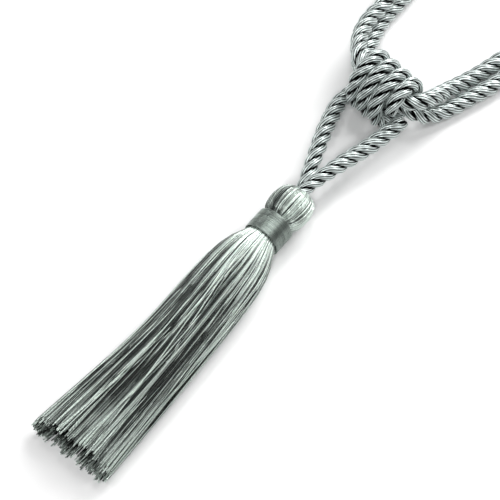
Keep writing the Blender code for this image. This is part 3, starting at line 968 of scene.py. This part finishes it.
# y, x of the middle, width, z of the widest line, z of the top, z of the underside, thickness
SKIRT_SECTIONS = (
    (-0.0290, 0.0000, 0.0172, 0.01115, 0.01975, 0.00255, 0.80),
    (-0.0366, 0.0000, 0.0186, 0.01115, 0.02045, 0.00185, 0.80),
    (-0.0425, 0.0002, 0.0250, 0.01090, 0.02330, 0.00090, 0.92),
    (-0.0600, 0.0008, 0.0344, 0.00980, 0.02400, 0.00000, 1.00),
    (-0.1180, 0.0022, 0.0384, 0.00820, 0.02100, 0.00000, 1.05),
    (-0.1850, -0.0008, 0.0476, 0.00620, 0.01560, 0.00000, 1.15),
)


def section_at(share):
    """The section at a share of the whole length, on a smooth curve through the table's rows."""
    rows = SKIRT_SECTIONS
    y = rows[0][0] + (rows[-1][0] - rows[0][0]) * share
    index = next((i for i in range(len(rows) - 2) if y >= rows[i + 1][0]), len(rows) - 2)
    one, two = rows[index], rows[index + 1]
    before, after = rows[max(index - 1, 0)], rows[min(index + 2, len(rows) - 1)]
    step = two[0] - one[0]
    t = (y - one[0]) / step
    section = [y]
    for column in range(1, len(one)):
        slope_one = (two[column] - before[column]) / (two[0] - before[0])
        slope_two = (after[column] - one[column]) / (after[0] - one[0])
        value = (2 * t**3 - 3 * t**2 + 1) * one[column] + (t**3 - 2 * t**2 + t) * step * slope_one
        value += (3 * t**2 - 2 * t**3) * two[column] + (t**3 - t**2) * step * slope_two
        section.append(value)
    return section


print(f"skirt {section_at(1.0)[2] * 1000:.0f} mm wide at its cut end")

# %% The skirt's route
SKIRT_POINTS = 17
CLOSER_AT_NECK = 1.35
SKIRT_LENGTH = 0.156
THREAD_RADIUS = 0.00030
SAGGING = 1.15  # the lower threads are laid past the underside, and then rest on the surface


def skirt_run():
    run = []
    for i in range(SKIRT_POINTS):
        share = (i / (SKIRT_POINTS - 1)) ** CLOSER_AT_NECK
        y, middle, width, widest, top, under, thickness = section_at(share)
        place = Vector((middle, y, widest)) + HEAD_TOP
        side = (width / 2 - THREAD_RADIUS, 0, 0)
        up = (0, 0, top - widest - THREAD_RADIUS)
        down = (0, 0, (widest - under) * SAGGING)
        run.append(RoutePoint(place, side, up, down, share * SKIRT_LENGTH, share, thickness))
    return run


# %% Skirt
SKIRT_HABITS = dict(
    scatter=1.0, uneven=0.22, lock_at_root=0.24, lock_at_tip=0.11, lock_drift=0.42, wave=0.10,
    wave_length=0.035, lock_ragged=0.0015, ragged=0.0030, hollow=0.0250, set_back=0.0032, floor=0.0,
)
PIECE_SIZES = (
    "strands", "strands_per_lock", "radius", "sides", "spread", "own_drift", "relief", "seed",
)
SKIRT_PIECES = (
    ("skirt_core", SKIRT_YARN, (500, 20, 0.00040, 3, 0.40, 0.22, 0.035, 21)),
    ("skirt_cover", SKIRT_YARN, (1500, 14, THREAD_RADIUS, 4, 0.05, 0.25, 0.035, 22)),
    ("skirt_strays", STRAY_YARN, (180, 1, THREAD_RADIUS, 5, 0.00, 1.50, -0.03, 23)),
)

for skirt_name, yarn, sizes in SKIRT_PIECES:
    habits = dict(zip(PIECE_SIZES, sizes), **SKIRT_HABITS)
    lay_strands(skirt_name, "tassel", [skirt_run()], yarn, **habits)

# %% [markdown]
# ## The head
#
# The head is the same hank folded over the rope. Its threads come up beside the rope, turn over
# and run down to the neck in loose tufts, with dark partings between them. One ball with a
# stripy surface would be simpler, but the partings are deep and show at the ball's edge. So each
# tuft is a run of its own through the strand tree, with its own height. The tufts to the right
# and over the top get painted light, those to the left painted shade, and each darkens towards
# the neck with painted shade.

# %% Head yarn
HEAD_YARN = yarn_material(
    "head_thread",
    dark=(0.06, 0.072, 0.066),
    light=(0.86, 0.97, 0.90),
    tones=(0.32, 0.66),
    roughness=0.34,
    grain_cells=60.0,
    patchy=0.15,
    # painted shade on the threads that lie inside a tuft
    depth=("far", 0.45, 0.85, 0.15),
)

# %% The outline that a tuft follows
HEAD_RADIUS = 0.01175
HEAD_LENGTH = 0.0225
TUFT_POINTS = 14
OPENING_TALL = 0.0088
OPENING_WIDE = 0.0041
LIP = 0.0006
ROOT_INSET = 0.0008  # how far inside the opening's lip a thread begins
ROOTS_Y = (-0.0105, -0.0055)
UPPER_FULLNESS = 0.72  # the smaller, the fuller the ball
LOWER_FULLNESS = 0.42
LOWEST_TURN = -math.radians(74)
AT_NECK = ((-0.0226, 0.0094), (-0.0280, 0.0088))


def opening_radius(angle):
    """The opening fits the rope's bight, which is taller than it is wide."""
    across, along = math.cos(angle) / OPENING_WIDE, math.sin(angle) / OPENING_TALL
    return 1 / math.sqrt(across**2 + along**2)


def tuft_outline(angle):
    """From the opening over the ball to the neck: y and the distance from the head's axis."""
    rim = opening_radius(angle) + LIP
    high = math.acos(min(1.0, rim / HEAD_RADIUS) ** (1 / UPPER_FULLNESS))
    outline = [(ROOTS_Y[0], rim - ROOT_INSET), (ROOTS_Y[1], rim - LIP)]
    over_ball = TUFT_POINTS - len(outline) - len(AT_NECK)
    for i in range(over_ball):
        turn = high + (LOWEST_TURN - high) * i / (over_ball - 1)
        fullness = UPPER_FULLNESS if turn > 0 else LOWER_FULLNESS
        y = -HEAD_LENGTH / 2 + HEAD_LENGTH / 2 * math.sin(turn)
        outline.append((y, HEAD_RADIUS * math.cos(turn) ** fullness))
    return [*outline, *AT_NECK]


print(f"head {2 * HEAD_RADIUS * 1000:.1f} mm thick, {len(tuft_outline(0.0))} points to a tuft")

# %% A tuft's route
TUFT_DEPTH = 0.0010
TUFT_INSET = 0.0011
TUFT_LENGTH = 0.03
WIDE_AT_TOP = 1.22
NARROWER_AT_NECK = 0.34
NECK_SHARE = 0.98
NECK_SWELL = 0.2
SWELL_SPAN = 1.02  # the swelling ends a little before the neck
PALER = 0.01
# painted shade that grows towards the neck
PAINTED_SHADE_AT_NECK = 0.22


def tuft_run(angle_deg, half_width_deg, proud, tone):
    angle = math.radians(angle_deg)
    outward = Vector((math.cos(angle), 0, math.sin(angle)))
    aside = Vector((-math.sin(angle), 0, math.cos(angle)))
    outline = tuft_outline(angle)
    run = []
    for i, (y, radius) in enumerate(outline):
        share = i / (len(outline) - 1)
        swell = math.sqrt(math.sin(math.pi * min(1.0, share * SWELL_SPAN)))
        reach = radius - TUFT_INSET + proud * (swell if share < NECK_SHARE else NECK_SWELL)
        place = outward * reach + HEAD_TOP + Vector((0, y, HEAD_AXIS_Z))
        width = radius * math.radians(half_width_deg) * (WIDE_AT_TOP - NARROWER_AT_NECK * share)
        up = outward * TUFT_DEPTH
        # the tuft's own painted light and shade, and painted shade that grows towards the neck
        tuft_lighting = tone + PALER - PAINTED_SHADE_AT_NECK * share**2
        along = share * TUFT_LENGTH + angle
        run.append(RoutePoint(place, aside * width, up, up, along, share, 1.0, tuft_lighting))
    return run


# %% Head
HEAD_TUFTS = (
    # angle round the head's axis in degrees with 90 on top, half width in degrees,
    # how far it stands out, and its painted light, where a number below 0 is painted shade
    (2, 13, 0.00050, 0.22), (43, 28, 0.00070, 0.24), (92, 16, 0.00045, 0.06), (121, 24, 0.00010, -0.08),
    (155, 24, 0.00015, -0.08), (188, 22, 0.0, -0.05), (222, 22, 0.0, 0.0), (262, 22, 0.0, 0.0),
    (302, 22, 0.0, 0.0), (337, 17, 0.0, 0.0),
)
HEAD_HABITS = dict(
    strands=80, radius=THREAD_RADIUS, sides=5, spread=0.35, scatter=1.0, uneven=0.2, lock_drift=0.15,
    own_drift=0.50, wave=0.30, wave_length=0.012, relief=0.15, floor=0.0, seed=31,
)

lay_strands("head", "tassel", [tuft_run(*row) for row in HEAD_TUFTS], HEAD_YARN, **HEAD_HABITS)

# %% [markdown]
# ## The band
#
# A finer thread is wound round the neck 36 times, side by side, and pulled tight. A striped
# cylinder would pass from afar, but not from near by. So the strand tree runs with a single
# strand along a helix, and again along a second one under it, which closes the gaps. A slight
# wobble keeps the turns from looking machined.

# %% Band yarn and a layer of winding
BAND_YARN = yarn_material(
    "band_thread",
    dark=(0.055, 0.066, 0.060),
    light=(0.68, 0.785, 0.72),
    tones=(0.38, 0.72),
    roughness=0.31,
    shine=0.86,
    streaks=8,
    plies=0,
    bump=0.00005,
    grain_cells=90.0,
    mixed=0.0,
    patchy=0.10,
)
BAND_RADIUS = 0.01075
BAND_LENGTH = 0.0145
BAND_THREAD = 0.00020
BAND_TURNS = 36
TURN_STEPS = 48
BAND_THREAD_LENGTH = 1.4
LAYER_SHIFT = 0.0003
LAYER_DEPTH = 1.3 * BAND_THREAD
MARGIN_BELOW = 0.0009
MARGIN_ABOVE = 0.0005
SLOW_WOBBLE = 0.00005
SLOW_RATE = 0.37
QUICK_WOBBLE = 0.00004
QUICK_RATE = 2.3


def band_run(radius, layer):
    low = -(HEAD_LENGTH + BAND_LENGTH) + MARGIN_BELOW + BAND_THREAD
    high = -(HEAD_LENGTH + MARGIN_ABOVE) - BAND_THREAD
    count = BAND_TURNS * TURN_STEPS
    run = []
    for i in range(count + 1):
        share = i / count
        angle = math.tau * i / TURN_STEPS
        outward = Vector((math.cos(angle), 0, math.sin(angle)))
        wobble = SLOW_WOBBLE * math.sin(angle * SLOW_RATE + layer)
        wobble += QUICK_WOBBLE * math.sin(angle * QUICK_RATE)
        y = low + (high - low) * share + wobble + layer * LAYER_SHIFT
        place = outward * (radius + wobble) + HEAD_TOP + Vector((0, y, HEAD_AXIS_Z))
        run.append(RoutePoint(place, along=share * BAND_THREAD_LENGTH))
    return run


# %% Band
outer_layer = band_run(BAND_RADIUS - BAND_THREAD, 0.0)
inner_layer = band_run(BAND_RADIUS - BAND_THREAD - LAYER_DEPTH, 1.0)
BAND_HABITS = dict(strands=1, radius=BAND_THREAD, sides=6, floor=0.0, seed=41)
lay_strands("band", "neck_band", [outer_layer, inner_layer], BAND_YARN, **BAND_HABITS)

# %% [markdown]
# ## Surface and light
#
# The tieback lies on plain white, which is one large square here. Six round lamps make the soft
# studio light: a large one low behind, four that brighten the other sides, and one that
# mirrors the camera's place. That one puts a bright line on every strand that faces up, as
# satin has. One large lamp would be simpler, but then rope and tassel would lose those lines.

# %% Surface
FLOOR_REACH = 3
FLOOR_WHITE = 0.90
FLOOR_ROUGHNESS = 0.9

floor_corners = [(x * FLOOR_REACH, y * FLOOR_REACH, 0) for x, y in ((-1, -1), (1, -1), (1, 1), (-1, 1))]
floor_mesh = bpy.data.meshes.new("floor")
floor_mesh.from_pydata(floor_corners, [], [(0, 1, 2, 3)])
floor = bpy.data.objects.new("floor", floor_mesh)
bpy.context.scene.collection.objects.link(floor)
white = bpy.data.materials.new("white_surface")
white.use_nodes = True
white_shader = white.node_tree.nodes["Principled BSDF"]
white_shader.inputs["Base Color"].default_value = (FLOOR_WHITE, FLOOR_WHITE, FLOOR_WHITE, 1)
white_shader.inputs["Roughness"].default_value = FLOOR_ROUGHNESS
floor_mesh.materials.append(white)
print(f"floor {2 * FLOOR_REACH} m wide")

# %% Lights
LIGHTS = (
    # name, azimuth from the near side, elevation, width in metres, power
    ("behind", 182, 34, 0.90, 21.0),
    ("behind_right", 135, 45, 0.45, 5.0),
    ("left", 290, 34, 0.45, 6.0),
    ("near", 34, 52, 0.45, 9.0),
    ("above", 20, 74, 0.60, 3.5),
    ("over_the_back", 218, 60, 0.40, 5.0),
)
LIGHT_DISTANCE = 1.6
SKY_STRENGTH = 0.05

for name, azimuth_deg, elevation_deg, width, power in LIGHTS:
    azimuth, elevation = math.radians(azimuth_deg), math.radians(elevation_deg)
    level = math.cos(elevation)
    direction = Vector((math.sin(azimuth) * level, -math.cos(azimuth) * level, math.sin(elevation)))
    lamp_data = bpy.data.lights.new(name, "AREA")
    lamp_data.shape = "DISK"
    lamp_data.size = width
    lamp_data.energy = power
    lamp = bpy.data.objects.new(name, lamp_data)
    lamp.location = direction * LIGHT_DISTANCE
    lamp.rotation_euler = (-direction).to_track_quat("-Z", "Y").to_euler()
    bpy.context.scene.collection.objects.link(lamp)

sky = bpy.data.worlds.new("studio")
sky.use_nodes = True
sky.node_tree.nodes["Background"].inputs["Color"].default_value = (1, 1, 1, 1)
sky.node_tree.nodes["Background"].inputs["Strength"].default_value = SKY_STRENGTH
bpy.context.scene.world = sky
bpy.context.scene.view_settings.view_transform = "Standard"
print(f"{len(LIGHTS)} lamps, {sum(row[-1] for row in LIGHTS):g} W in all")
